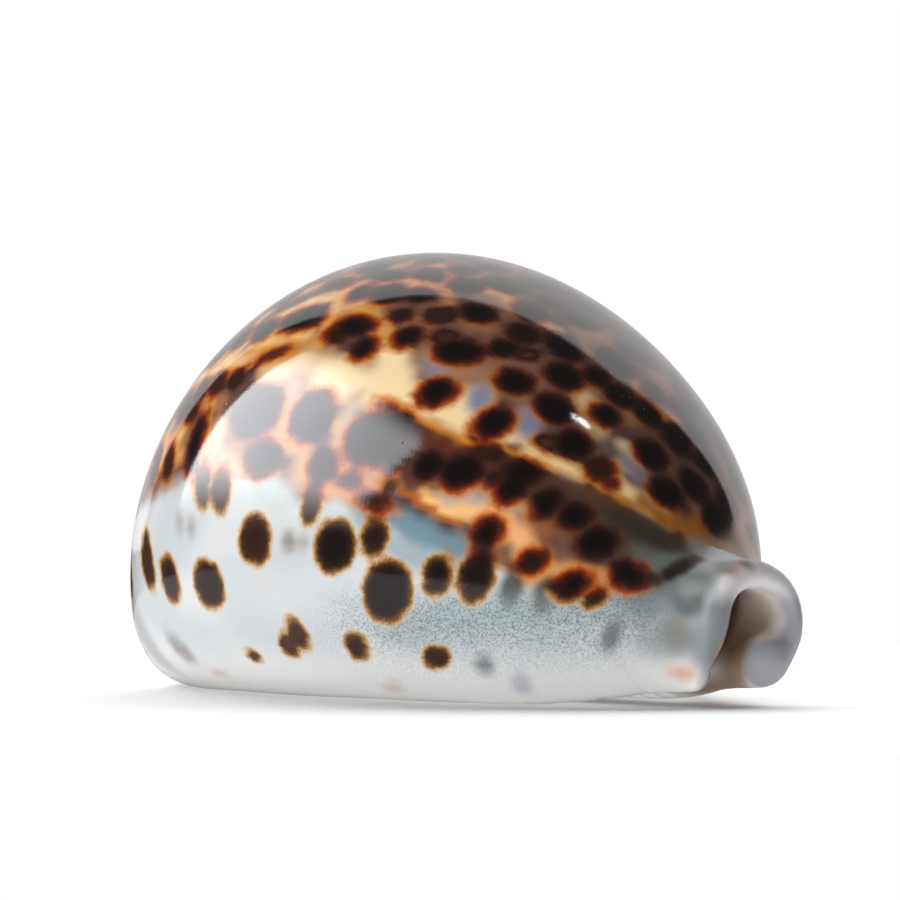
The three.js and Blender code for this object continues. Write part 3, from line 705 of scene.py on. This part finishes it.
spots = FLANK_SPOTS + DORSUM_SPOTS
spots += scattered(3, spots, 900, (-34, 5), (48, 150), (1.4, 2.3), (0.2, 0.8), (0.9, 1))
spots += scattered(4, spots, 700, (5, 36), (78, 150), (1.4, 2.3), (0.0, 0.8), (0.9, 1))
spots += scattered(5, spots, 260, (-36, 34), (150, 190), (1.3, 2.7), (0.8, 3.0), (0.7, 1))
spots += scattered(6, spots, 120, (-37, -26), (-12, 48), (1.2, 2.2), (0.6, 2.2), (0.6, 1))

# Spots run together where they touch. Each spot of the dome has a dusky shadow of itself in the enamel
# below, larger and a little towards the back.
MERGE = 0.15
DUSK, DUSK_COVER = "#6a5554", 0.8
SMOKE_SHIFT, SMOKE_TURN, SMOKE_GROWTH, SMOKE_BLUR = -0.5, 1.0, 0.9, 2.6
total = np.zeros(len(points))
tone_sum = np.zeros(len(points))
smoke_depth = np.full(len(points), -9.0)
for x, angle, long, tall, tilt, tone in spots:
    share = np.exp(np.clip(depth_in(x, angle, long, tall, tilt) / MERGE, -60, 60))
    total += share
    tone_sum += tone * share
    below = depth_in(x + SMOKE_SHIFT, angle + SMOKE_TURN, long + SMOKE_GROWTH, tall + SMOKE_GROWTH, tilt)
    smoke_depth = np.maximum(smoke_depth, below)
spot = np.clip(MERGE * np.log(np.maximum(total, 1e-26)), -8, 4)
heart = tone_sum / np.maximum(total, 1e-26)
smoke = ease(0.5 + (smoke_depth + 0.4 * lobes) / SMOKE_BLUR) * dorsum
lay(DUSK, DUSK_COVER * smoke)

ROUTE_STEP, ROUTE_SMOOTHINGS = 0.3, 6
for colour, cover, width, blur, route in STROKES:
    middle_line = []
    for (x0, a0), (x1, a1) in zip(route, route[1:]):
        steps = max(2, math.ceil(math.hypot(x1 - x0, DEGREE * (a1 - a0)) / ROUTE_STEP))
        fractions = np.arange(steps + 1) / steps
        middle_line += [place(x0 + t * (x1 - x0), a0 + t * (a1 - a0))[0] for t in fractions]
    middle_line = np.array(middle_line)
    for _ in range(ROUTE_SMOOTHINGS):
        middle_line[1:-1] = (middle_line[:-2] + 2 * middle_line[1:-1] + middle_line[2:]) / 4
    gap = np.full(len(points), 1e3)
    for centre in middle_line:
        gap = np.minimum(gap, np.linalg.norm(points - centre, axis=1))
    lay(colour, cover * ease((width + blur / 2 - gap + 0.5 * lobes) / blur))

# The lips and the inside are bare of pigment: white in the hollow, taupe and a little orange towards
# the front canal, and pearly grey round each canal's rim and on the knob. Each rim's top is painted
# paler, a painted highlight where the light from above falls.
RIM_WIDTH, RIM_BLUR = 1.6, 2.0
KNOB_MIDDLE, KNOB_SIZE, KNOB_BLUR = np.array([45.0, 2.8, 4.6]), 2.6, 0.9
loop_index = np.tile(loop_at, n_rings)
inside = past(loop_index, INNER_LIP, 5) * past(loop_index, OUTER_LIP, -5)
lip = past(loop_index, LAST_OUTSIDE, 3) * past(loop_index, LOOP - 4, -3)
steps_along = np.linalg.norm(np.diff(surface, axis=0), axis=2)
from_back = np.concatenate([np.zeros((1, n_loop)), np.cumsum(steps_along, axis=0)]).ravel()
from_front = np.concatenate([np.cumsum(steps_along[::-1], axis=0)[::-1], np.zeros((1, n_loop))]).ravel()
from_rim = np.minimum(from_front, from_back)
lay("#efe9e4", inside)
lay("#e6d8cb", inside * past(from_rim, 2.5, 4))
lay("#cf9f6c", 0.6 * inside * past(along_shell, 30, 6) * past(height, 12, -6) * past(from_front, 4, 4))

on_rim = past(from_rim - 0.4 * lobes, RIM_WIDTH + RIM_BLUR, -RIM_BLUR)
on_rim *= np.where(along_shell > 0, past(along_shell, 41, 2), 1)
lay("#a2a3ab", on_rim)
lay("#85888f", on_rim * past(across_shell, -2.5, -2) * past(height, 14.6, -2) * past(loop_index, 4, 6))
# Painted highlight: the rim is paler from 11 mm up, where the light from above falls on it.
lay("#dedadb", on_rim * past(height, 11, 3))

from_knob = np.linalg.norm(points - KNOB_MIDDLE, axis=1)
near_knob = past(along_shell, 38, 3) * past(height, 8.5, -2) * past(across_shell, 6, -2)
lay("#a5886e", lip * near_knob * past(loop_index, ACROSS_WALL - 2, -4) * past(from_knob, 2.8, 1.0))
lay("#9fa0a8", past(from_knob, KNOB_SIZE + KNOB_BLUR, -KNOB_BLUR))

for colour, cover, middle, size, blur in CANAL_BLOTCHES:
    distance = np.linalg.norm(points - np.array(middle), axis=1)
    lay(colour, cover * ease((size + blur / 2 - distance + 0.3 * lobes) / blur) * (1 - lip))
underside = past(loop_index, 60, 6) * past(loop_index, 77, -4)
lay("#97806f", underside * past(along_shell, 28, 8) * past(along_shell, 43.5, -3))
for colour, cover, x, angle, long, tall, tilt, blur in MARKS:
    lay(colour, cover * ease(0.5 + (depth_in(x, angle, long, tall, tilt) + 0.25 * lobes) / blur))

# A net of fine lines, like the grain of leather, lies along the side below the spots. It is densest
# high up and thins out towards the foot and the canal, where the gloss turns satin.
NET_ROUTE = [(-5, -30), (12, -24), (20, -24), (30, -28), (38, -32)]
NET_WIDTH, NET_BLUR, NET_AT_FOOT = 3, 7, 0.25
net_gap = np.full(len(points), 1e3)
for x in range(-5, 41):
    centre = place(x, float(through(NET_ROUTE, np.array([min(x, 38.0)]))[0]))[0]
    net_gap = np.minimum(net_gap, np.linalg.norm(points - centre, axis=1))
leather = past(net_gap, NET_WIDTH + NET_BLUR, -NET_BLUR) * past(along_shell, -2, 16) * (1 - inside)
leather *= NET_AT_FOOT + (1 - NET_AT_FOOT) * past(height, 3.5, 6)
leather *= past(along_shell, 41.5, -5) * past(height, 14.5, -2.5)
satin = np.maximum(inside, past(along_shell, 33, 5) * past(height, 22, -4))
layers = {"spot": spot, "heart": heart, "dorsum": dorsum, "leather": leather, "satin": satin}
for name, values in layers.items():
    shell_mesh.attributes.new(name, "FLOAT", "POINT").data.foreach_set("value", values.astype(np.float32))
tint = np.concatenate([ground, np.ones((len(points), 1))], axis=1)
ground_layer = shell_mesh.attributes.new("ground", "FLOAT_COLOR", "POINT")
ground_layer.data.foreach_set("color", tint.astype(np.float32).ravel())

# Enamel: aragonite that the mantle laid down and polished in thin layers, as glossy as glazed china.
# Its pigment lies at many depths, so that edges are soft and ringed with amber. Fine pits catch the
# light, and the canal and the inside, which the mantle polished less, are satin.
enamel = bpy.data.materials.new("polished aragonite enamel")
enamel.use_nodes = True
tree = enamel.node_tree
tree.nodes.clear()
millimetres = add_node(tree, "ShaderNodeVectorMath", {"operation": "SCALE"}, Scale=1000.0,
                       Vector=add_node(tree, "ShaderNodeTexCoord").outputs["Object"]).outputs[0]
layer = {
    name: add_node(tree, "ShaderNodeAttribute", {"attribute_name": name}).outputs["Fac"] for name in layers
}
ground_colour = add_node(tree, "ShaderNodeAttribute", {"attribute_name": "ground"}).outputs["Color"]

# Uneven edges: lobes, and a fuzz like the nap of felt.
LOBE_SIZE, FUZZ_SIZE = 1.6, 0.3
edge_lobes = add_node(tree, "ShaderNodeTexNoise", Vector=millimetres, Scale=1 / LOBE_SIZE,
                      Detail=2.0).outputs["Fac"]
fuzz = add_node(tree, "ShaderNodeTexNoise", Vector=millimetres, Scale=1 / FUZZ_SIZE, Detail=3.0,
                Roughness=0.6).outputs["Fac"]

# The net: fine broken lines of teal, and a thin haze of the same pigment between them.
NET_PITCH, NET_BEND_SIZE, NET_BEND = 0.5, 0.8, 1.2
net_bend = add_node(tree, "ShaderNodeTexNoise", Vector=millimetres, Scale=1 / NET_BEND_SIZE,
                    Detail=2.0).outputs["Color"]
net_at = add_node(tree, "ShaderNodeVectorMath", MULTIPLY_ADD, i0=net_bend, i1=[NET_BEND] * 3,
                  i2=millimetres).outputs[0]
net = add_node(tree, "ShaderNodeTexVoronoi", {"feature": "DISTANCE_TO_EDGE"}, Vector=net_at,
               Scale=1 / NET_PITCH).outputs["Distance"]
net_line = add_node(tree, "ShaderNodeMapRange", SMOOTH, Value=net, From_Min=0.25, From_Max=0.0,
                    To_Max=0.75).outputs[0]
net_gaps = add_node(tree, "ShaderNodeMapRange", Value=fuzz, From_Min=0.38, From_Max=0.58).outputs[0]
broken_line = add_node(tree, "ShaderNodeMath", MULTIPLY, i0=net_line, i1=net_gaps).outputs[0]
net_cover = add_node(tree, "ShaderNodeMath", MULTIPLY, i0=broken_line, i1=layer["leather"]).outputs[0]
haze_cover = add_node(tree, "ShaderNodeMath", MULTIPLY, i0=layer["leather"], i1=0.2).outputs[0]
hazed = add_node(tree, "ShaderNodeMix", COLOURS, i0=haze_cover, i6=ground_colour,
                 i7=linear("#a9b3b5")).outputs[2]
netted = add_node(tree, "ShaderNodeMix", COLOURS, i0=net_cover, i6=hazed,
                  i7=linear("#4f6268")).outputs[2]

# Dark spots, from 1.6 mm outside their edge to 1.4 mm inside it. Their rim is ochre and fuzzy on the
# white side, amber and crisp where the dome is pale, and dull brown where the dome is dark.
fuzz_reach = add_node(tree, "ShaderNodeMapRange", Value=layer["dorsum"], To_Min=0.45, To_Max=0.25).outputs[0]
edge_fuzz = add_node(tree, "ShaderNodeMath", {"operation": "SUBTRACT"}, i0=fuzz, i1=0.5).outputs[0]
edge_lobe = add_node(tree, "ShaderNodeMath", {"operation": "SUBTRACT"}, i0=edge_lobes, i1=0.5).outputs[0]
edge = add_node(tree, "ShaderNodeMath", MULTIPLY_ADD, i0=edge_lobe, i1=1.0, i2=layer["spot"]).outputs[0]
edge = add_node(tree, "ShaderNodeMath", MULTIPLY_ADD, i0=edge_fuzz, i1=fuzz_reach, i2=edge).outputs[0]
through_edge = add_node(tree, "ShaderNodeMapRange", Value=edge, From_Min=-1.6, From_Max=1.4).outputs[0]
RIMS = {
    "flank": [(0.24, "#d9c29a", 0.0), (0.37, "#bf8f45", 0.65), (0.46, "#8f6122", 0.95),
              (0.55, "#523516", 1.0), (0.66, "#2c1c17", 1.0), (0.88, "#171010", 1.0)],
    "dusk": [(0.04, "#5a3626", 0.0), (0.28, "#552e1e", 0.6), (0.44, "#40201a", 0.95), (0.58, "#2a1512", 1.0),
             (0.74, "#180c0b", 1.0), (0.92, "#110909", 1.0)],
    "amber": [(0.10, "#dc9a48", 0.0), (0.29, "#cd7a26", 0.6), (0.43, "#a2480f", 0.97),
              (0.56, "#62200e", 1.0), (0.72, "#2a0e0a", 1.0), (0.92, "#120909", 1.0)],
}
rim_colour = {}
for side, stops in RIMS.items():
    rim_node = add_node(tree, "ShaderNodeValToRGB", Fac=through_edge)
    while len(rim_node.color_ramp.elements) < len(stops):
        rim_node.color_ramp.elements.new(0.5)
    for element, (at, colour, cover) in zip(rim_node.color_ramp.elements, stops):
        element.position = at
        element.color = linear(colour)[:3] + [cover]
    rim_colour[side] = rim_node.outputs
ground_light = add_node(tree, "ShaderNodeRGBToBW", Color=ground_colour).outputs[0]
ground_bright = add_node(tree, "ShaderNodeMapRange", SMOOTH, Value=ground_light,
                         From_Min=0.08, From_Max=0.3).outputs[0]
on_dome = add_node(tree, "ShaderNodeMapRange", SMOOTH, Value=layer["dorsum"],
                   From_Min=0.2, From_Max=0.9).outputs[0]
spotted = netted
side_share = {
    "flank": None,
    "dusk": on_dome,
    "amber": add_node(tree, "ShaderNodeMath", MULTIPLY, i0=on_dome, i1=ground_bright).outputs[0],
}
for side, share in side_share.items():
    on_side = add_node(tree, "ShaderNodeMix", COLOURS, i0=rim_colour[side]["Alpha"], i6=netted,
                       i7=rim_colour[side]["Color"]).outputs[2]
    spotted = on_side if share is None else add_node(
        tree, "ShaderNodeMix", COLOURS, i0=share, i6=spotted, i7=on_side).outputs[2]

# A weak spot has a brown heart: the lower its darkness, the paler it stays inside.
inside_spot = add_node(tree, "ShaderNodeMapRange", SMOOTH, Value=through_edge,
                       From_Min=0.5, From_Max=0.75).outputs[0]
weakness = add_node(tree, "ShaderNodeMapRange", Value=layer["heart"], From_Min=1.0, From_Max=0.2, To_Min=0.0,
                    To_Max=0.85).outputs[0]
brown_cover = add_node(tree, "ShaderNodeMath", MULTIPLY, i0=inside_spot, i1=weakness).outputs[0]
hearted = add_node(tree, "ShaderNodeMix", COLOURS, i0=brown_cover, i6=spotted,
                   i7=linear("#5e3526")).outputs[2]

# Fine pits, drawn a little wider than they are so that they show.
PIT_PITCH = 1.7
pits = add_node(tree, "ShaderNodeTexVoronoi", {"feature": "F1"}, Vector=millimetres,
                Scale=1 / PIT_PITCH).outputs["Distance"]
pit_depth = add_node(tree, "ShaderNodeMapRange", SMOOTH, Value=pits, From_Min=0.03,
                     From_Max=0.10, To_Min=-1.0, To_Max=0.0).outputs[0]
relief = add_node(tree, "ShaderNodeMath", MULTIPLY_ADD, i0=fuzz, i1=0.35, i2=pit_depth).outputs[0]
bump = add_node(tree, "ShaderNodeBump", Strength=0.12, Distance=0.0001, Height=relief).outputs[0]
polish = add_node(tree, "ShaderNodeMapRange", Value=layer["satin"], To_Min=0.05, To_Max=0.42).outputs[0]
enamel_surface = add_node(tree, "ShaderNodeBsdfPrincipled", Base_Color=hearted, Normal=bump, IOR=1.68,
                          Roughness=polish)
add_node(tree, "ShaderNodeOutputMaterial", Surface=enamel_surface.outputs[0])
shell_mesh.materials.append(enamel)

# The halves of each rim meet in the middle of the wall, where their points are joined.
edit = bmesh.new()
edit.from_mesh(shell_mesh)
bmesh.ops.remove_doubles(edit, verts=edit.verts, dist=1e-6)
edit.to_mesh(shell_mesh)
edit.free()
shell_mesh.polygons.foreach_set("use_smooth", [True] * len(shell_mesh.polygons))
shell_body = bpy.data.objects.new("shell_body", shell_mesh)
scene.collection.objects.link(shell_body)
shell_only.objects.link(shell_body)
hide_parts("shell")
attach(shell_body, "root")
